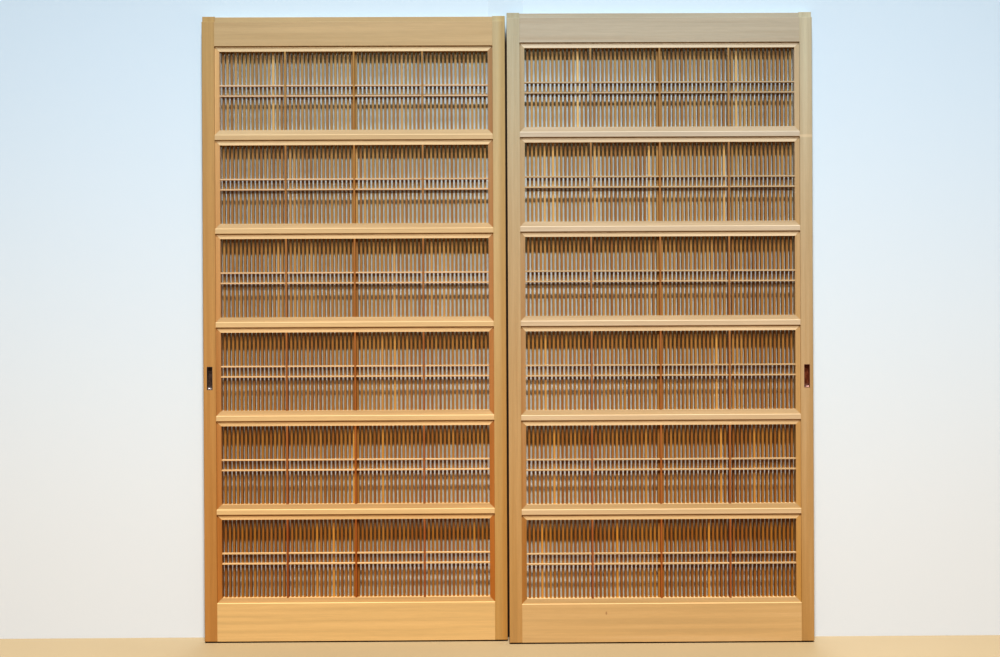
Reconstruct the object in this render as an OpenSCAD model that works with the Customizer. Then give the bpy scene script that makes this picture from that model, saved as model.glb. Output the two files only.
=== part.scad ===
// Pair of lattice sliding doors. Two leaves stand edge to edge in neighbouring
// grooves, so that the right one can pass in front of the left one.
// Each leaf is a frame of stiles and rails. Each light of the frame holds a mitred
// frame of beads, a grid of muntins and battens, and a row of upright slats.
// x runs along the opening, y from the front to the back and z up.
// The origin lies on the sill, under the middle of the pair.

/* [Pair] */
// Gap between the leaves where they stand edge to edge
meeting_gap = 5; // [1:0.5:20]
// Clearance between the leaves as one passes the other
passing_gap = 3; // [1:0.5:10]

/* [Leaf] */
// Height of a leaf, from the foot to the top of its stiles
leaf_h = 1800; // [1500:10:2200]
// Width of a leaf
leaf_w = 870; // [600:5:1200]
// Thickness of a leaf
leaf_t = 30; // [24:0.5:45]
// Number of lights, one above the other
light_count = 6; // [2:1:6]

/* [Stiles and rails] */
// Width of a stile
stile_w = 36; // [32:1:60]
// Flat planed off the two long outer edges of a stile
stile_arris = 1; // [0.5:0.25:3]
// Flat planed off the long edges of a rail
rail_arris = 1.25; // [0.5:0.25:3]
// Height of the top rail, with its tongue
top_rail_h = 86; // [70:1:160]
// Height of the bottom rail, with its tongue
bottom_rail_h = 114; // [70:1:220]
// Height of a rail between two lights
rail_h = 16; // [12:1:40]
// How far the stiles stand above the top rail
horn_h = 2; // [0:0.5:10]

/* [Tongues] */
// Height of the tongue that runs in the groove of the head
head_tongue_h = 15; // [8:1:25]
// Height of the tongue that runs in the groove of the sill
sill_tongue_h = 4; // [2:0.5:10]
// How far both tongues are set back from the front
tongue_set = 9.5; // [4:0.5:14]

/* [Joints] */
// Thickness of the tenons on the rails
tenon_t = 10; // [6:0.5:14]
// Length of the tenons on the rails
tenon_l = 28; // [15:1:30]
// Height of each of the two tenons at an end of the top and bottom rails
wide_tenon_h = 26; // [15:1:30]
// Clearance on each side of a tenon, a mitre, a bead or a housed end
fit_gap = 0.1; // [0.05:0.05:0.3]
// Clearance beyond a tenon or a housed end
end_gap = 0.5; // [0.2:0.1:2]

/* [Beads] */
// Width of the beads around a light
bead_w = 14; // [10:0.5:25]
// How far the beads are set back from both faces of the leaf
bead_set = 3.5; // [1:0.5:6]

/* [Grid] */
// Width of a muntin
muntin_w = 5.6; // [4:0.2:10]
// Shoulder on each side of the tenon of a muntin
muntin_shoulder = 1; // [0.6:0.1:1.5]
// Height of a batten
batten_h = 4.4; // [3:0.2:8]
// Depth of a batten
batten_t = 8; // [3:0.25:10]
// How far the battens are set back from the face of the beads
batten_set = 1.5; // [0.5:0.25:3]
// Distance between the middles of the two battens
batten_pitch = 29.5; // [15:0.5:60]

/* [Slats] */
// Width of a slat
slat_w = 6; // [4:0.2:12]
// How far the slats and muntins stop short of the back of the beads
slat_back = 2; // [1.5:0.5:8]
// Space aimed at between two slats
slat_space = 6; // [4:0.2:20]
// How deep slats, muntins and battens are housed in the beads
housing = 5; // [3:0.5:7]

/* [Finger pull] */
// Width of the pull
pull_w = 16; // [10:0.5:22]
// Height of the pull
pull_h = 66; // [40:1:100]
// Depth of the pull
pull_t = 9; // [6:0.5:9.5]
// Wall of the pull
pull_wall = 1.2; // [0.8:0.1:2]
// Radius that rounds the floor of the pull up to its two ends
pull_round = 6.5; // [2:0.5:6.5]
// Height of the middle of the pull above the foot of the leaf
pull_z = 760; // [720:5:860]

/* [Hidden] */
SIDES = ["left", "right"];
LIGHTS = [1:light_count];
RAILS = [1:light_count - 1];
LEAF_NODES = concat(
    ["outer_stile", "meeting_stile", "top_rail", "bottom_rail", "finger_pull"],
    [for (n = RAILS) str("rail_", n)],
    [for (n = LIGHTS) for (part = ["beads", "grid", "slats"]) str("light_", n, "_", part)]
);
NODES = [for (side = SIDES) for (part = LEAF_NODES) str(side, "_", part)];
node = "all";

STILE_COLOUR = [0.72, 0.52, 0.29];
RAIL_COLOUR = [0.85, 0.68, 0.44];
BEAD_COLOUR = [0.78, 0.58, 0.34];
GRID_COLOUR = [0.80, 0.62, 0.38];
SLAT_COLOUR = [0.70, 0.49, 0.27];
PULL_COLOUR = [0.24, 0.17, 0.12];

// Lights and rails are counted from the top. A light's opening lies between the
// stiles and the rails, and the lattice inside its beads.
head_z = leaf_h - horn_h;
light_w = leaf_w - 2 * stile_w;
rails_h = top_rail_h + bottom_rail_h + (light_count - 1) * rail_h;
light_h = (head_z - rails_h) / light_count;
lattice_w = light_w - 2 * bead_w;
lattice_h = light_h - 2 * bead_w;
// Half the width and half the height of the frame of beads
frame_x = light_w / 2 - fit_gap;
frame_z = light_h / 2 - fit_gap;
function light_z(n) = bottom_rail_h + (light_count - n) * (light_h + rail_h);
function rail_z(n) = light_z(n) - rail_h;

// Depths of the layers, from the front face of the leaf
bead_t = leaf_t - 2 * bead_set;
batten_y = bead_set + batten_set;
slat_y = batten_y + batten_t;
slat_t = leaf_t - bead_set - slat_back - slat_y;
muntin_t = slat_y + slat_t - bead_set;
tenon_y = (leaf_t - tenon_t) / 2;

// An even number of places with equal spaces, also beside the beads
place_count = 2 * round((lattice_w - slat_space) / (slat_w + slat_space) / 2);
place_space = (lattice_w - place_count * slat_w) / (place_count + 1);
function place_x(i) = place_space + slat_w / 2 + i * (slat_w + place_space) - lattice_w / 2;

// Muntins stand in the middle and near the quarters, in the place of a slat there
quarter_place = round((lattice_w / 4 - place_space - slat_w / 2) / (slat_w + place_space));
MUNTINS = [place_x(quarter_place), 0, -place_x(quarter_place)];
muntin_reach = (slat_w + muntin_w) / 2 + fit_gap;
function is_free(x) = min([for (m = MUNTINS) abs(x - m)]) > muntin_reach;
SLATS = [for (i = [0:place_count - 1]) if (is_free(place_x(i))) place_x(i)];

// How far a cutting shape runs past the face that it opens
over = 1;
$fn = 48;

// A shape drawn in x and z, given the depth t from y = front to the back
module board(front, t) translate([0, front + t, 0]) rotate([90, 0, 0]) linear_extrude(t) children();

// A shape drawn in y and z, given the width w about x = 0
module strip(w) translate([-w / 2, 0, 0]) rotate([90, 0, 90]) linear_extrude(w) children();

// A box from corner a to corner b, larger by gap on each side along x, y and z
module span(a, b, gap = [0, 0, 0]) translate(a - gap) cube(b - a + 2 * gap);

// The shape and its mirror image across the middle plane x = 0 or z = 0
module both_ways(normal) {
    children();
    mirror(normal) children();
}

// Tenons at one end of a rail, whose shoulder is at x = 0, from z = 0 up
module thin_tenon(gap = [0, 0, 0])
    span([-tenon_l, tenon_y, 0], [over, tenon_y + tenon_t, rail_h], gap);

module wide_tenons(h, gap = [0, 0, 0])
    for (quarter = [1, 3])
        translate([0, 0, quarter * h / 4])
            span([-tenon_l, tenon_y, -wide_tenon_h / 2], [over, tenon_y + tenon_t, wide_tenon_h / 2], gap);

// Strips taken off the front at the foot and the head, which leave the tongues
module tongue_rebates() {
    span([-over, -over, -over], [leaf_w + over, tongue_set, sill_tongue_h]);
    span([-over, -over, head_z - head_tongue_h], [leaf_w + over, tongue_set, leaf_h + over]);
}

// A stile at the outer edge, x = 0, with the mortises for all rails
module stile() {
    mortise_gap = [end_gap, fit_gap, fit_gap];
    section = [
        [stile_arris, 0], [stile_w, 0], [stile_w, leaf_t], [stile_arris, leaf_t],
        [0, leaf_t - stile_arris], [0, stile_arris]
    ];
    difference() {
        linear_extrude(leaf_h) polygon(section);
        tongue_rebates();
        translate([stile_w, 0, 0]) wide_tenons(bottom_rail_h, mortise_gap);
        translate([stile_w, 0, head_z - top_rail_h]) wide_tenons(top_rail_h, mortise_gap);
        for (n = RAILS) translate([stile_w, 0, rail_z(n)]) thin_tenon(mortise_gap);
    }
}

module outer_stile() color(STILE_COLOUR)
    difference() {
        stile();
        at_pull() span(
            [-pull_w / 2, -over, -pull_h / 2], [pull_w / 2, pull_t, pull_h / 2],
            [fit_gap, fit_gap, fit_gap]
        );
    }

module meeting_stile() color(STILE_COLOUR) translate([leaf_w, 0, 0]) mirror([1, 0, 0]) stile();

// A rail of height h between the stiles, with its foot at z, and its tenons
module rail(z, h) {
    section = [
        [rail_arris, 0], [leaf_t - rail_arris, 0], [leaf_t, rail_arris], [leaf_t, h - rail_arris],
        [leaf_t - rail_arris, h], [rail_arris, h], [0, h - rail_arris], [0, rail_arris]
    ];
    translate([leaf_w / 2, 0, z]) strip(light_w) polygon(section);
    translate([stile_w, 0, z]) children();
    translate([leaf_w - stile_w, 0, z]) mirror([1, 0, 0]) children();
}

module wide_rail(z, h) difference() {
    rail(z, h) wide_tenons(h);
    tongue_rebates();
}

module top_rail() color(RAIL_COLOUR) wide_rail(head_z - top_rail_h, top_rail_h);
module bottom_rail() color(RAIL_COLOUR) wide_rail(0, bottom_rail_h);
module thin_rail(n) color(RAIL_COLOUR) rail(rail_z(n), rail_h) thin_tenon();

// Places a piece from the middle of its light
module at_light(n) translate([leaf_w / 2, 0, light_z(n) + light_h / 2]) children();

// The upper bead, with a mortise for the end of each slat and muntin
module cross_bead() difference() {
    board(bead_set, bead_t) polygon([
        [-frame_x, frame_z], [frame_x, frame_z],
        [lattice_w / 2, lattice_h / 2], [-lattice_w / 2, lattice_h / 2]
    ]);
    board(slat_y - fit_gap, slat_t + 2 * fit_gap)
        translate([0, lattice_h / 2 - over]) {
            for (x = SLATS) mortise_outline(x, slat_w);
            for (x = MUNTINS) mortise_outline(x, muntin_w - 2 * muntin_shoulder);
        }
}

module mortise_outline(x, w)
    translate([x - w / 2 - fit_gap, 0]) square([w + 2 * fit_gap, over + housing + end_gap]);

// The left bead, mitred to the cross beads, with a mortise for each batten
module side_bead() {
    outer_end = frame_z - fit_gap;
    inner_end = lattice_h / 2 - fit_gap;
    difference() {
        board(bead_set, bead_t) polygon([
            [-frame_x, -outer_end], [-lattice_w / 2, -inner_end],
            [-lattice_w / 2, inner_end], [-frame_x, outer_end]
        ]);
        battens([end_gap, fit_gap, fit_gap]);
    }
}

module beads(n) color(BEAD_COLOUR) at_light(n) {
    both_ways([0, 0, 1]) cross_bead();
    both_ways([1, 0, 0]) side_bead();
}

// Two battens from bead to bead, in front of the slats
module battens(gap = [0, 0, 0]) {
    reach = lattice_w / 2 + housing;
    for (side = [-1, 1])
        translate([0, 0, side * batten_pitch / 2])
            span([-reach, batten_y, -batten_h / 2], [reach, batten_y + batten_t, batten_h / 2], gap);
}

// A muntin flush with the beads, with a tenon in line with the slats at each end,
// pierced by the battens
module muntin(x) difference() {
    translate([x, 0, 0]) {
        board(bead_set, muntin_t) square([muntin_w, lattice_h], center = true);
        board(slat_y, slat_t)
            square([muntin_w - 2 * muntin_shoulder, lattice_h + 2 * housing], center = true);
    }
    battens([0, fit_gap, fit_gap]);
}

module grid(n) color(GRID_COLOUR) at_light(n) {
    battens();
    for (x = MUNTINS) muntin(x);
}

module slats(n) color(SLAT_COLOUR) at_light(n)
    for (x = SLATS)
        translate([x, 0, 0])
            board(slat_y, slat_t) square([slat_w, lattice_h + 2 * housing], center = true);

// Places the pull in the middle of the outer stile's width
module at_pull() translate([stile_w / 2, 0, pull_z]) children();

// Depth and height of the hollow, with its two deep corners rounded
module pull_hollow() {
    deep = pull_t - pull_wall;
    half_h = pull_h / 2 - pull_wall;
    difference() {
        translate([-over, -half_h]) square([deep + over, 2 * half_h]);
        for (end = [-1, 1])
            translate([deep - pull_round, end * (half_h - pull_round)])
                difference() {
                    translate([0, min(0, end * pull_round)]) square(pull_round);
                    circle(pull_round);
                }
    }
}

module finger_pull() color(PULL_COLOUR) at_pull() difference() {
    strip(pull_w) translate([0, -pull_h / 2]) square([pull_t, pull_h]);
    strip(pull_w - 2 * pull_wall) pull_hollow();
}

// The left leaf runs in the back groove and the right one, its mirror image, in front
module in_place(side) {
    outer_x = leaf_w + meeting_gap / 2;
    if (side == "left")
        translate([-outer_x, passing_gap / 2, 0]) children();
    else
        translate([outer_x, -passing_gap / 2 - leaf_t, 0]) mirror([1, 0, 0]) children();
}

function wanted(side, part) = node == "all" || node == str(side, "_", part);

for (side = SIDES) in_place(side) {
    if (wanted(side, "outer_stile")) outer_stile();
    if (wanted(side, "meeting_stile")) meeting_stile();
    if (wanted(side, "top_rail")) top_rail();
    if (wanted(side, "bottom_rail")) bottom_rail();
    if (wanted(side, "finger_pull")) finger_pull();
    for (n = RAILS) if (wanted(side, str("rail_", n))) thin_rail(n);
    for (n = LIGHTS) {
        if (wanted(side, str("light_", n, "_beads"))) beads(n);
        if (wanted(side, str("light_", n, "_grid"))) grid(n);
        if (wanted(side, str("light_", n, "_slats"))) slats(n);
    }
}
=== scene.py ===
import math

import bmesh
import bpy
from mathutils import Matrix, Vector


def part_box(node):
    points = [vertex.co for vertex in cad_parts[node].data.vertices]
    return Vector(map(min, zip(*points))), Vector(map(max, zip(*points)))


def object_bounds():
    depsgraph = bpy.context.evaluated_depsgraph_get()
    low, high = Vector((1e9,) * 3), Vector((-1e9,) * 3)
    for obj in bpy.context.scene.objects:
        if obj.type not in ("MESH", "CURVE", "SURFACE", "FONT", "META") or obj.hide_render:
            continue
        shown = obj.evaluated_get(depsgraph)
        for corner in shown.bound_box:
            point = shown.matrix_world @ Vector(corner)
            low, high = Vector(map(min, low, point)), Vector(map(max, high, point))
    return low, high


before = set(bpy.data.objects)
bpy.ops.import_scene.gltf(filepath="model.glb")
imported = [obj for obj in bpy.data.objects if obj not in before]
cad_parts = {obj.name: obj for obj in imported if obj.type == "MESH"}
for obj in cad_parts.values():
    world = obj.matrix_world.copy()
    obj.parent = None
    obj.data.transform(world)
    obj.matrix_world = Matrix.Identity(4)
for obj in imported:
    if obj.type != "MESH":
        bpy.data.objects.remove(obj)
cad_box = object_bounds()
SIDES = ("left", "right")

# --- Stiles -----------------------------------------------------------------------------
# The two uprights of each leaf, planed from straight-grained cedar and mortised for the
# rails. Light has bleached their heads, and the outer ones have darkened most. Their colour
# also holds painted light: a cool tint at the head and a warm floor bounce at the foot.


def paint(red, green, blue):
    """A colour from a paint chart, 0 to 255 a channel, as shaders take it."""
    return [((c / 255 + 0.055) / 1.055) ** 2.4 for c in (red, green, blue)] + [1.0]


def add(tree, kind, inputs=(), **settings):
    """Adds a shader node. Its inputs, by name or in their order, are values or links."""
    made = tree.nodes.new("ShaderNode" + kind)
    for name, value in settings.items():
        setattr(made, name, value)
    for key, value in inputs.items() if isinstance(inputs, dict) else enumerate(inputs):
        if isinstance(value, bpy.types.NodeSocket):
            tree.links.new(value, made.inputs[key])
        else:
            made.inputs[key].default_value = value
    return made


def calc(tree, operation, *values, **settings):
    """The result of a Math node."""
    return add(tree, "Math", values, operation=operation, **settings).outputs[0]


def mix(tree, factor, a, b, mode="MIX"):
    """Colour a mixed with colour b."""
    made = add(tree, "Mix", {0: factor, 6: a, 7: b}, data_type="RGBA", blend_type=mode)
    return made.outputs[2]


def ease(tree, value, low, high, to_low=0.0, to_high=1.0):
    """The value's way from low to high, as a smooth way between two other values."""
    settings = {"interpolation_type": "SMOOTHSTEP"}
    return add(tree, "MapRange", [value, low, high, to_low, to_high], **settings).outputs[0]


def new_group(name, takes, gives):
    """A shader node group, with the sockets where its inputs come out and its outputs go in."""
    group = bpy.data.node_groups.new(name, "ShaderNodeTree")
    for socket, kind in takes.items():
        group.interface.new_socket(socket, in_out="INPUT", socket_type="NodeSocket" + kind)
    for socket, kind in gives.items():
        group.interface.new_socket(socket, in_out="OUTPUT", socket_type="NodeSocket" + kind)
    enter = group.nodes.new("NodeGroupInput")
    leave = group.nodes.new("NodeGroupOutput")
    return group, enter.outputs, leave.inputs


def place(tree, group, inputs):
    """Puts a node group in a material."""
    return add(tree, "Group", inputs, node_tree=group).outputs


# How often bands, fibres and the rings' wander change in a metre: across, across, along
BAND_SCALE = (70, 70, 1.3)
FIBRE_SCALE = (1400, 1400, 22)
WANDER_SCALE = (12, 12, 1.1)
WANDER = 0.014
LOG_SIZE = (3.0, 3.0, 9.0)


def make_straight_grain():
    """Quarter-sawn softwood: broad bands, growth rings and fibres along a stick, whose own
    number, Stick, says where in the log it was cut. Place has the grain along its z."""
    takes = {"Place": "Vector", "Stick": "Float", "Ring Width": "Float", "Ring Slope": "Float"}
    gives = {"Bands": "Float", "Rings": "Float", "Fibres": "Float"}
    group, enter, leave = new_group("straight_grain", takes, gives)
    cut = add(group, "TexWhiteNoise", noise_dimensions="1D")
    group.links.new(enter["Stick"], cut.inputs["W"])
    far = add(group, "VectorMath", [cut.outputs["Color"], LOG_SIZE], operation="MULTIPLY")
    log = add(group, "VectorMath", [enter["Place"], far.outputs[0]], operation="ADD").outputs[0]

    def noise(scale, detail=2.0):
        """Soft noise, stretched along the grain."""
        stretched = add(group, "VectorMath", [log, scale], operation="MULTIPLY").outputs[0]
        values = {"Vector": stretched, "Scale": 1.0, "Detail": detail}
        return add(group, "TexNoise", values).outputs["Fac"]

    split = add(group, "SeparateXYZ", [log]).outputs
    wander = calc(group, "MULTIPLY", noise(WANDER_SCALE), WANDER)
    sloped = calc(group, "MULTIPLY", split["Y"], enter["Ring Slope"])
    radius = calc(group, "ADD", calc(group, "ADD", split["X"], sloped), wander)
    ring = calc(group, "FRACT", calc(group, "DIVIDE", radius, enter["Ring Width"]))
    late = calc(group, "MULTIPLY", ease(group, ring, 0.35, 0.9), ease(group, ring, 1.0, 0.92))
    bands = noise(BAND_SCALE, 3.0)
    group.links.new(bands, leave["Bands"])
    strength = ease(group, bands, 0.2, 0.7, 0.4)
    group.links.new(calc(group, "MULTIPLY", late, strength), leave["Rings"])
    group.links.new(noise(FIBRE_SCALE), leave["Fibres"])
    return group


# How the colour turns from foot to head: bleaching, and painted light that is cool at the head and
# warm at the foot
BLEACH_AND_LIGHT_TINT_CURVE = 1.35


def make_ageing_and_light_tint():
    """The colour of bare wood between a head bleached by daylight and an oiled, warmer foot,
    with its bands, latewood and fibres. The head and foot colours also hold painted light: a
    cool tint of light from above at the head and a warm bounce from the floor at the foot."""
    takes = {
        "Head": "Color", "Foot": "Color", "Latewood": "Color", "Height": "Float", "Bands": "Float",
        "Rings": "Float", "Fibres": "Float", "Figure": "Float",
    }
    group, enter, leave = new_group("ageing_and_light_tint", takes, {"Color": "Color"})
    uneven = calc(group, "MULTIPLY", calc(group, "SUBTRACT", enter["Bands"], 0.5), 0.5)
    # The height sets both the bleaching and the painted light, cool at the head and warm at the
    # foot
    bleached_and_tinted = calc(group, "POWER", enter["Height"], BLEACH_AND_LIGHT_TINT_CURVE)
    share = calc(group, "ADD", bleached_and_tinted, uneven, use_clamp=True)
    wood = mix(group, share, enter["Foot"], enter["Head"])
    latewood = mix(group, 1.0, wood, enter["Latewood"], "MULTIPLY")
    wood = mix(group, calc(group, "MULTIPLY", enter["Rings"], enter["Figure"]), wood, latewood)
    shade = ease(group, enter["Bands"], 0.25, 0.75, 0.88, 1.1)
    shade = calc(group, "MULTIPLY", shade, ease(group, enter["Fibres"], 0.2, 0.8, 0.94, 1.05))
    grey = add(group, "CombineXYZ", [shade, shade, shade]).outputs[0]
    group.links.new(mix(group, 1.0, wood, grey, "MULTIPLY"), leave["Color"])
    return group


STRAIGHT_GRAIN = make_straight_grain()
AGEING_AND_LIGHT_TINT = make_ageing_and_light_tint()
LATEWOOD = paint(226, 196, 160)
RING_WIDTH = 0.0016
RING_SLOPE = 0.6
FIGURE = 0.5
HEAD_Z = cad_box[1].z


def new_material(name, roughness=0.5, metallic=0.0):
    """A material with its shader node, and the piece's own x, y and z."""
    material = bpy.data.materials.new(name)
    material.use_nodes = True
    tree = material.node_tree
    shader = tree.nodes["Principled BSDF"]
    shader.inputs["Roughness"].default_value = roughness
    shader.inputs["Metallic"].default_value = metallic
    at = add(tree, "TexCoord").outputs["Object"]
    return material, tree, shader, at, add(tree, "SeparateXYZ", [at]).outputs


def along_x(tree, xyz):
    """The place on a stick that lies along x, with its grain turned to z."""
    return add(tree, "CombineXYZ", [xyz["Z"], xyz["Y"], xyz["X"]]).outputs[0]


def show_wood(tree, shader, xyz, spot, stick, head, foot):
    """Wood on the shader of a stick: its colour, its sheen and its raised latewood."""
    grain = place(tree, STRAIGHT_GRAIN, {
        "Place": spot, "Stick": stick, "Ring Width": RING_WIDTH, "Ring Slope": RING_SLOPE,
    })
    height = calc(tree, "DIVIDE", xyz["Z"], HEAD_Z)
    wood = place(tree, AGEING_AND_LIGHT_TINT, {
        "Head": head, "Foot": foot, "Latewood": LATEWOOD, "Height": height, "Figure": FIGURE,
        "Bands": grain["Bands"], "Rings": grain["Rings"], "Fibres": grain["Fibres"],
    })["Color"]
    tree.links.new(wood, shader.inputs["Base Color"])
    sheen = calc(tree, "SUBTRACT", 0.62, calc(tree, "MULTIPLY", grain["Rings"], 0.12))
    tree.links.new(sheen, shader.inputs["Roughness"])
    relief = calc(tree, "ADD", grain["Rings"], grain["Fibres"])
    bump = add(tree, "Bump", {"Strength": 0.25, "Distance": 0.0002, "Height": relief})
    tree.links.new(bump.outputs[0], shader.inputs["Normal"])
    return wood, grain


def dress(node, material, arris=0.0003):
    """Gives a node its material, and takes the sharpness off its edges."""
    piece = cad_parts[node]
    for slot in piece.material_slots:
        slot.material = material
    if arris:
        weld = piece.modifiers.new("weld", "WELD")
        weld.merge_threshold = 0.00001
        bevel = piece.modifiers.new("arris", "BEVEL")
        bevel.width = arris
        bevel.segments = 1
        bevel.limit_method = "ANGLE"
        bevel.angle_limit = math.radians(40)


STILE_ARRIS = 0.0004
# A darker, warmer band along one edge, and a pale mark across a stile where something stood
DARK_EDGE_SPAN = (0.020, 0.002)
DARK_EDGE_WAVE = 0.008
DARK_EDGE_COLOUR = paint(246, 236, 216)
MARK_Z = 1.445
MARK_HALF = (0.006, 0.002)
MARK_COLOUR = paint(226, 208, 176)
MARK_SHARE = 0.25
STILES = {
    "left_outer_stile": (paint(168, 148, 106), paint(181, 134, 74)),
    "left_meeting_stile": (paint(173, 166, 137), paint(186, 149, 90)),
    "right_meeting_stile": (paint(164, 164, 146), paint(184, 146, 91)),
    "right_outer_stile": (paint(176, 176, 158), paint(179, 142, 88)),
}
# Every stick of the pair has its own number, from which its grain follows
FIRST_STILE = 0.5
for number, (node, (head, foot)) in enumerate(STILES.items()):
    material, tree, shader, at, xyz = new_material(node)
    stick = FIRST_STILE + number
    wood, grain = show_wood(tree, shader, xyz, at, stick, head, foot)
    # A darker, warmer band along the inner edge of this stile
    if node == "left_meeting_stile":
        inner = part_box(node)[1].x
        wave = calc(tree, "MULTIPLY", grain["Bands"], DARK_EDGE_WAVE)
        wavy = calc(tree, "ADD", xyz["X"], wave)
        dark_edge_mask = ease(tree, wavy, inner - DARK_EDGE_SPAN[0], inner - DARK_EDGE_SPAN[1])
        dark_edge_wood = mix(tree, 1.0, wood, DARK_EDGE_COLOUR, "MULTIPLY")
        tree.links.new(mix(tree, dark_edge_mask, wood, dark_edge_wood), shader.inputs["Base Color"])
    if node == "right_outer_stile":
        off = calc(tree, "ABSOLUTE", calc(tree, "SUBTRACT", xyz["Z"], MARK_Z))
        mark = calc(tree, "MULTIPLY", ease(tree, off, *MARK_HALF), MARK_SHARE)
        tree.links.new(mix(tree, mark, wood, MARK_COLOUR), shader.inputs["Base Color"])
    dress(node, material, STILE_ARRIS)

# --- Rails ------------------------------------------------------------------------------
# Crossways boards of the same cedar, tenoned into the stiles: a deep one at the foot, a
# top rail and five thin ones. They have stayed paler than the stiles.
RAIL_COLOURS = {
    "left": (paint(175, 160, 128), paint(213, 180, 125)),
    "right": (paint(166, 164, 151), paint(202, 170, 120)),
}
THIN_RAIL_COLOURS = {
    "left": (paint(176, 163, 135), paint(213, 182, 132)),
    "right": (paint(173, 174, 167), paint(206, 179, 138)),
}
# A small oval knot
KNOT = (0.2785, 0.0, 0.087)
KNOT_SQUASH = (1.0, 0.0, 0.55)
KNOT_RADIUS = (0.0045, 0.002)
KNOT_COLOUR = paint(120, 70, 36)
KNOT_SHARE = 0.5
FIRST_RAIL = 10.5
RAILS = ("top_rail", "rail_1", "rail_2", "rail_3", "rail_4", "rail_5", "bottom_rail")
for side in SIDES:
    for number, rail in enumerate(RAILS):
        node = f"{side}_{rail}"
        material, tree, shader, at, xyz = new_material(node)
        stick = FIRST_RAIL + number + 10 * SIDES.index(side)
        colours = THIN_RAIL_COLOURS if rail[-1].isdigit() else RAIL_COLOURS
        wood, grain = show_wood(tree, shader, xyz, along_x(tree, xyz), stick, *colours[side])
        if node == "right_bottom_rail":
            from_knot = add(tree, "VectorMath", [at, KNOT], operation="SUBTRACT").outputs[0]
            oval = add(tree, "VectorMath", [from_knot, KNOT_SQUASH], operation="MULTIPLY")
            away = add(tree, "VectorMath", [oval.outputs[0]], operation="LENGTH").outputs["Value"]
            ragged = calc(tree, "ADD", away, calc(tree, "MULTIPLY", grain["Fibres"], 0.002))
            knot = calc(tree, "MULTIPLY", ease(tree, ragged, *KNOT_RADIUS), KNOT_SHARE)
            tree.links.new(mix(tree, knot, wood, KNOT_COLOUR), shader.inputs["Base Color"])
        dress(node, material)

# --- Beads ------------------------------------------------------------------------------
# Each light is lined with four flat sticks, mitred at the corners and set back a little
# from the frame. They hold the ends of the lattice.
BEAD_COLOURS = {
    "left": (paint(205, 194, 165), paint(218, 180, 126)),
    "right": (paint(198, 194, 178), paint(212, 180, 130)),
}
# The upright beads of each leaf: the left one, then the right one
SIDE_BEAD_COLOURS = {
    "left": (
        (paint(190, 166, 125), paint(170, 113, 46)),
        (paint(152, 130, 97), paint(172, 110, 41)),
    ),
    "right": (
        (paint(162, 155, 131), paint(168, 120, 59)),
        (paint(172, 164, 142), paint(186, 145, 80)),
    ),
}
# The lower bead of each light is darkened by painted shade
LOWER_BEAD_PAINTED_SHADE = 0.8
FIRST_BEAD = 100.5
LIGHTS = range(1, 7)
for side in SIDES:
    for light in LIGHTS:
        node = f"{side}_light_{light}_beads"
        low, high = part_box(node)
        middle, half = (low + high) / 2, (high - low) / 2
        material, tree, shader, at, xyz = new_material(node)
        from_side = calc(tree, "SUBTRACT", xyz["X"], middle.x)
        from_level = calc(tree, "SUBTRACT", xyz["Z"], middle.z)

        # The mitres part the uprights from the beads that lie across
        beside = calc(tree, "SUBTRACT", calc(tree, "ABSOLUTE", from_side), half.x)
        above = calc(tree, "SUBTRACT", calc(tree, "ABSOLUTE", from_level), half.z)
        upright = calc(tree, "GREATER_THAN", beside, above)
        spot = mix(tree, upright, along_x(tree, xyz), at)

        # The two across are number -1 and 1 of their light, and the uprights 3 and 5
        lying = calc(tree, "SUBTRACT", 1.0, upright)
        lying_number = calc(tree, "MULTIPLY", calc(tree, "SIGN", from_level), lying)
        upright_number = calc(tree, "ADD", calc(tree, "SIGN", from_side), 4.0)
        upright_number = calc(tree, "MULTIPLY", upright_number, upright)
        number = calc(tree, "ADD", lying_number, upright_number)
        stick = calc(tree, "ADD", number, FIRST_BEAD + 10 * light + 100 * SIDES.index(side))

        rightward = calc(tree, "GREATER_THAN", from_side, 0.0)
        low_down = calc(tree, "LESS_THAN", from_level, 0.0)
        colours = []
        for cross, left, right in zip(BEAD_COLOURS[side], *SIDE_BEAD_COLOURS[side]):
            # Painted shade: the lower bead is a darker copy of the upper one
            painted_shade_lower = [c * LOWER_BEAD_PAINTED_SHADE for c in cross[:3]] + [1.0]
            across = mix(tree, low_down, cross, painted_shade_lower)
            colours.append(mix(tree, upright, across, mix(tree, rightward, left, right)))
        head, foot = colours
        show_wood(tree, shader, xyz, spot, stick, head, foot)
        dress(node, material, 0)

# --- Grid -------------------------------------------------------------------------------
# Three muntins stand flush with the beads, and two battens run through them in front of
# the slats. Both are ripped from pale cedar.
MUNTIN_COLOURS = {
    "left": (paint(152, 126, 76), paint(158, 91, 34)),
    "right": (paint(152, 130, 86), paint(158, 93, 38)),
}
BATTEN_COLOURS = {
    "left": (paint(187, 172, 152), paint(210, 176, 128)),
    "right": (paint(167, 158, 137), paint(192, 164, 124)),
}
MUNTIN_W = 0.0056
SLAT_W = 0.006
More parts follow.
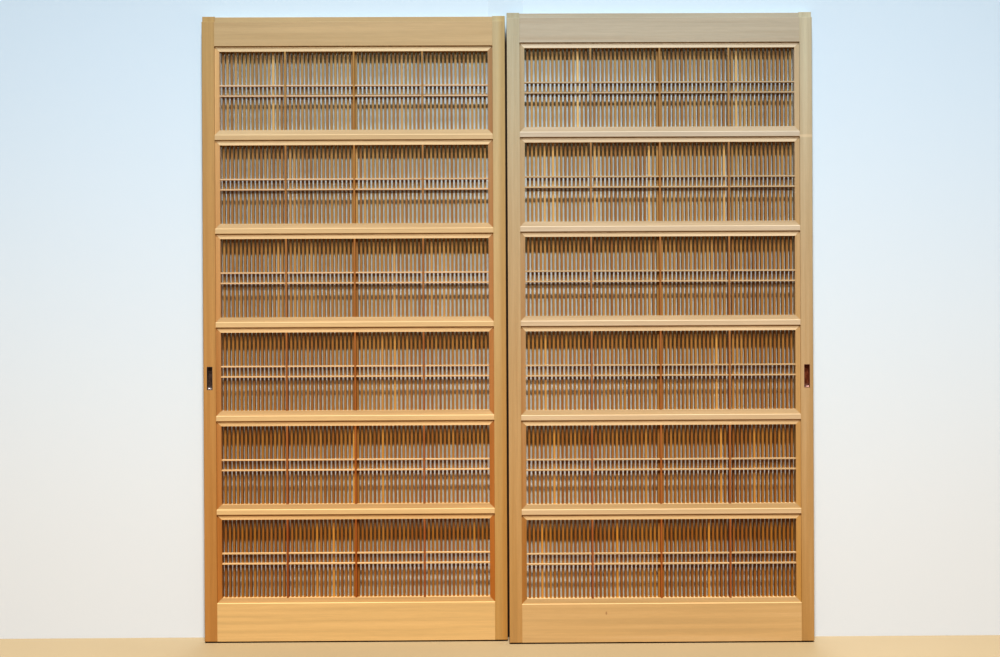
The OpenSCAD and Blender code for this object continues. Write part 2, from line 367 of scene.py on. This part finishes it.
# A light has 64 even places for slats. The outer muntins stand in two of them, and the
# middle one halfway between two, so from one muntin to the next it is 16 and a half.
PLACES = 64
MUNTIN_PLACES = 16.5
FIRST_GRID_STICK = 300.5
for side in SIDES:
    for light in LIGHTS:
        node = f"{side}_light_{light}_grid"
        low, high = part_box(node)
        middle = (low + high) / 2
        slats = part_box(f"{side}_light_{light}_slats")
        quarter = MUNTIN_PLACES * (slats[1].x - slats[0].x - SLAT_W) / (PLACES - 1)
        material, tree, shader, at, xyz = new_material(node)
        from_side = calc(tree, "SUBTRACT", xyz["X"], middle.x)

        # A point is on a muntin if it lies within half a muntin of the nearest one's middle
        muntin = calc(tree, "ROUND", calc(tree, "DIVIDE", from_side, quarter))
        off = calc(tree, "SUBTRACT", from_side, calc(tree, "MULTIPLY", muntin, quarter))
        upright = calc(tree, "LESS_THAN", calc(tree, "ABSOLUTE", off), MUNTIN_W * 0.55)
        spot = mix(tree, upright, along_x(tree, xyz), at)
        number = calc(tree, "MULTIPLY", calc(tree, "ADD", muntin, 4.0), upright)
        first = FIRST_GRID_STICK + 10 * light + 100 * SIDES.index(side)
        stick = calc(tree, "ADD", number, first)
        pairs = zip(BATTEN_COLOURS[side], MUNTIN_COLOURS[side])
        head, foot = [mix(tree, upright, across, up) for across, up in pairs]
        show_wood(tree, shader, xyz, spot, stick, head, foot)
        dress(node, material)

# --- Slats ------------------------------------------------------------------------------
# Sixty-two thin slats stand in mortises in the upper and lower beads of each light. They
# were ripped from many boards, so pale sapwood and red heartwood stand side by side.
FIRST_SLAT = 500.5
# The palest slats, by the leaf, the light and their place from the left
PALE_SLATS = {("left", 1): (12,), ("right", 1): (12,), ("left", 5): (31,)}
# The tones of slats at the head and at the foot, from the darkest to the palest
SLAT_TONES = (
    (0.00, paint(144, 116, 73), paint(142, 90, 26)),
    (0.40, paint(151, 126, 82), paint(149, 98, 30)),
    (0.80, paint(156, 134, 88), paint(155, 105, 32)),
    (0.96, paint(166, 143, 99), paint(164, 113, 37)),
    (1.00, paint(195, 174, 126), paint(195, 139, 50)),
)


def ramp(tree, factor, stops):
    """A colour picked from a row of colours."""
    made = add(tree, "ValToRGB", [factor])
    row = made.color_ramp.elements
    while len(row) < len(stops):
        row.new(1.0)
    for element, (at, colour) in zip(row, stops):
        element.position, element.color = at, colour
    return made.outputs[0]


for side in SIDES:
    for light in LIGHTS:
        node = f"{side}_light_{light}_slats"
        low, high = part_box(node)
        pitch = (high.x - low.x - SLAT_W) / (PLACES - 1)
        material, tree, shader, at, xyz = new_material(node)
        start = low.x + SLAT_W / 2 - pitch / 2
        along = calc(tree, "DIVIDE", calc(tree, "SUBTRACT", xyz["X"], start), pitch)
        number = calc(tree, "FLOOR", along)
        first = FIRST_SLAT + 100 * light + 1000 * SIDES.index(side)
        stick = calc(tree, "ADD", number, first)
        cut = add(tree, "TexWhiteNoise", noise_dimensions="1D")
        tree.links.new(stick, cut.inputs["W"])
        tone = cut.outputs["Value"]
        for pale_slat in PALE_SLATS.get((side, light), ()):
            pale = calc(tree, "COMPARE", number, pale_slat, 0.1)
            tone = calc(tree, "MAXIMUM", tone, pale)
        head = ramp(tree, tone, [(share, colour) for share, colour, other in SLAT_TONES])
        foot = ramp(tree, tone, [(share, colour) for share, other, colour in SLAT_TONES])
        show_wood(tree, shader, xyz, at, stick, head, foot)
        dress(node, material)

# --- Finger pulls -----------------------------------------------------------------------
# A flush cup of dark patinated bronze, let into the outer stile of each leaf. Fingers have
# rubbed its rim, and its lower end carries a painted glint.
RIM_DEPTH = 0.0012
RIM_RUB = 0.3
# A painted glint at the lower end of the cup
GLINT_END = (0.016, 0.004)
GLINT_SHARE = 0.35
RUBBED_AND_GLINT_BRONZE = paint(150, 142, 140)
PATINAS = {
    "left": (paint(62, 50, 46), paint(112, 96, 88)),
    "right": (paint(104, 56, 38), paint(150, 92, 66)),
}
for side in SIDES:
    node = f"{side}_finger_pull"
    low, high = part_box(node)
    material, tree, shader, at, xyz = new_material(node, metallic=0.55)
    cloud = add(tree, "TexNoise", {"Vector": at, "Scale": 220.0, "Detail": 4.0}).outputs["Fac"]
    patina = mix(tree, ease(tree, cloud, 0.3, 0.7), *PATINAS[side])
    depth = calc(tree, "SUBTRACT", xyz["Y"], low.y)
    worn_rim = calc(tree, "MULTIPLY", ease(tree, depth, RIM_DEPTH, 0.0), RIM_RUB)
    foot = calc(tree, "SUBTRACT", xyz["Z"], low.z)
    # A painted glint lightens the lower end of the cup
    painted_glint = calc(tree, "MULTIPLY", ease(tree, foot, *GLINT_END), GLINT_SHARE)
    worn_and_glint = calc(tree, "MAXIMUM", worn_rim, painted_glint)
    colour = mix(tree, worn_and_glint, patina, RUBBED_AND_GLINT_BRONZE)
    tree.links.new(colour, shader.inputs["Base Color"])
    tree.links.new(ease(tree, cloud, 0.3, 0.7, 0.3, 0.5), shader.inputs["Roughness"])
    dress(node, material)

# --- Floor ------------------------------------------------------------------------------
# A plain floor of pale boards, far wider than the pair. The light that it throws back on
# the leaves is a deeper brown than the floor itself looks.
FLOOR_HALF = 9.0
FLOOR_COLOURS = (paint(149, 131, 102), paint(159, 141, 111))
BOUNCED_COLOUR = paint(120, 92, 64)


def flat_sheet(name, corners, material):
    """A flat sheet of the room, which isn't part of the doors."""
    sheet = bmesh.new()
    sheet.faces.new([sheet.verts.new(corner) for corner in corners])
    mesh = bpy.data.meshes.new(name)
    sheet.to_mesh(mesh)
    sheet.free()
    mesh.materials.append(material)
    made = bpy.data.objects.new(name, mesh)
    bpy.context.scene.collection.objects.link(made)


material, tree, shader, at, xyz = new_material("floor_boards", 0.6)
cloud = add(tree, "TexNoise", {"Vector": at, "Scale": 1.5}).outputs["Fac"]
seen = add(tree, "LightPath").outputs["Is Camera Ray"]
floor_colour = mix(tree, seen, BOUNCED_COLOUR, mix(tree, cloud, *FLOOR_COLOURS))
tree.links.new(floor_colour, shader.inputs["Base Color"])
quarter_turns = ((-1, -1), (1, -1), (1, 1), (-1, 1))
flat_sheet("floor", [(x * FLOOR_HALF, y * FLOOR_HALF, 0) for x, y in quarter_turns], material)

# --- Backdrop ---------------------------------------------------------------------------
# A pale painted board that stands close behind the pair and leans to its head. It steps
# back with the grooves, and is open from behind, so that the backs of the leaves show.
BOARD_HALF = 6.0
BOARD_H = 4.5
STEP_HALF = 0.05
FOOT_GAP = 0.033
HEAD_GAP = 0.002
# Pale paint, with painted light: a cool, bluer tint towards the top
BOARD_PAINT_AND_LIGHT_TINT = (paint(214, 218, 217), paint(192, 213, 229))
SMUDGE_COLOUR = paint(180, 180, 184)
SMUDGE_SHARE = 0.06
# Painted warm light bounced from the wood onto the board behind the pair
PAINTED_WOOD_BOUNCE = ([1.06, 1.03, 0.97, 1.0], [1.02, 0.97, 0.90, 1.0])
PAINTED_BOUNCE_FADE_ACROSS = 0.35
PAINTED_BOUNCE_FADE_UP = 0.6
# Painted shade on the board behind the gap between the leaves
PAINTED_GAP_SHADE = paint(62, 50, 42)
PAINTED_GAP_SHADE_HALF = (0.009, 0.005)
PAINTED_GAP_SHADE_TOP = (0.01, 0.08)

material, tree, shader, at, xyz = new_material("backdrop_paint", 0.9)
cloud = add(tree, "TexNoise", {"Vector": at, "Scale": 0.8}).outputs["Fac"]
high = ease(tree, xyz["Z"], 0.0, HEAD_Z * 1.1)
# Painted cool light: the board turns bluer towards its top
board_with_painted_tint = mix(tree, high, *BOARD_PAINT_AND_LIGHT_TINT)
board_with_painted_tint = mix(tree, calc(tree, "MULTIPLY", cloud, SMUDGE_SHARE), board_with_painted_tint, SMUDGE_COLOUR)

# Painted warm bounce from the wood onto the board, and painted shade behind the joint
off_middle = calc(tree, "ABSOLUTE", xyz["X"])
painted_bounce_across = ease(tree, off_middle, cad_box[1].x, cad_box[1].x - PAINTED_BOUNCE_FADE_ACROSS)
painted_bounce_below = ease(tree, xyz["Z"], HEAD_Z, HEAD_Z - PAINTED_BOUNCE_FADE_UP)
painted_bounce_board = mix(tree, 1.0, board_with_painted_tint, mix(tree, high, *PAINTED_WOOD_BOUNCE), "MULTIPLY")
board_colour = mix(tree, calc(tree, "MULTIPLY", painted_bounce_across, painted_bounce_below), board_with_painted_tint, painted_bounce_board)
# Painted shade behind the gap, below the head of the pair
gap_shade_below_head = ease(tree, xyz["Z"], HEAD_Z - PAINTED_GAP_SHADE_TOP[0], HEAD_Z - PAINTED_GAP_SHADE_TOP[1])
painted_gap_shade = calc(tree, "MULTIPLY", ease(tree, off_middle, *PAINTED_GAP_SHADE_HALF), gap_shade_below_head)
board_colour = mix(tree, painted_gap_shade, board_colour, PAINTED_GAP_SHADE)
tree.links.new(board_colour, shader.inputs["Base Color"])

behind = add(tree, "NewGeometry").outputs["Backfacing"]
shadow = add(tree, "LightPath").outputs["Is Shadow Ray"]
unseen = calc(tree, "MAXIMUM", behind, shadow)
nothing = add(tree, "BsdfTransparent").outputs[0]
surface = add(tree, "MixShader", [unseen, shader.outputs[0], nothing]).outputs[0]
tree.links.new(surface, tree.nodes["Material Output"].inputs["Surface"])


def board_edge(x, side):
    """The foot and the top of the board's edge at x, as far back as that side's leaf."""
    foot = Vector((x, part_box(f"{side}_top_rail")[1].y + FOOT_GAP, 0))
    lean = (HEAD_GAP - FOOT_GAP) / HEAD_Z
    return foot, foot + Vector((0, lean * BOARD_H, BOARD_H))


edges = [board_edge(-BOARD_HALF, "left"), board_edge(-STEP_HALF, "left")]
edges += [board_edge(STEP_HALF, "right"), board_edge(BOARD_HALF, "right")]
for name, (foot, top), (next_foot, next_top) in zip(("left", "step", "right"), edges, edges[1:]):
    flat_sheet(f"backdrop_{name}", [foot, next_foot, next_top, top], material)

# --- Lights -----------------------------------------------------------------------------
# Two soft panels in a high ceiling, a weaker one behind the pair, and the dim warm light
# of the room. From all sides the room looks like a pale, cool sky.
MIDDLE = Vector((0, 0, HEAD_Z / 2))
# The near panel hangs over the camera and is turned a little away, so the light that
# it gives is as strong at the foot of the leaves as at their head.
NEAR_PANEL = Vector((0, -3.2, 4.55))
NEAR_AIM = Vector((0, -0.592, -1))
STEEP_RISE = math.radians(67)
STEEP_DISTANCE = 20
BACK_PANEL = Vector((0.6, 4.5, 3.2))
ROOM_LIGHT = (0.07, 0.058, 0.044, 1.0)
SKY_COLOUR = (0.64, 0.70, 0.80, 1.0)


def soft_panel(name, at, towards, size, power, colour):
    """A flat soft light."""
    lamp = bpy.data.lights.new(name, "AREA")
    lamp.shape = "RECTANGLE"
    lamp.size, lamp.size_y = size
    lamp.energy = power
    lamp.color = colour
    made = bpy.data.objects.new(name, lamp)
    made.location = at
    made.rotation_euler = (at - towards).to_track_quat("Z", "Y").to_euler()
    bpy.context.scene.collection.objects.link(made)


towards_steep = Vector((0, -math.cos(STEEP_RISE), math.sin(STEEP_RISE)))
steep_panel = MIDDLE + STEEP_DISTANCE * towards_steep
soft_panel("ceiling_front", NEAR_PANEL, NEAR_PANEL + NEAR_AIM, (0.5, 0.8), 556, (1.0, 1.0, 1.0))
soft_panel("ceiling_steep", steep_panel, MIDDLE, (5, 1.8), 3500, (0.94, 0.97, 1.0))
soft_panel("back_light", BACK_PANEL, MIDDLE, (3.0, 2.0), 85, (1.0, 0.98, 0.95))

world = bpy.data.worlds.new("room_light")
bpy.context.scene.world = world
world.use_nodes = True
tree = world.node_tree
seen = add(tree, "LightPath").outputs["Is Camera Ray"]
room_colour = mix(tree, seen, ROOM_LIGHT, SKY_COLOUR)
tree.links.new(room_colour, tree.nodes["Background"].inputs["Color"])

view = bpy.context.scene.view_settings
view.view_transform = "Standard"
view.look = "High Contrast"

# --- Camera -----------------------------------------------------------------------------
# It stands at half the height of the pair, a little to the left of its middle, and is
# turned by less than half a degree.
CAMERA_AT = (-0.0446, -3.4, 0.9087)
CAMERA_TURN = (math.pi / 2 - 0.0027, 0.0049, -0.0071)
lens = bpy.data.cameras.new("camera")
lens.sensor_width = 36
lens.lens = 42.6
camera = bpy.data.objects.new("camera", lens)
camera.location = CAMERA_AT
camera.rotation_euler = CAMERA_TURN
bpy.context.scene.collection.objects.link(camera)
bpy.context.scene.camera = camera
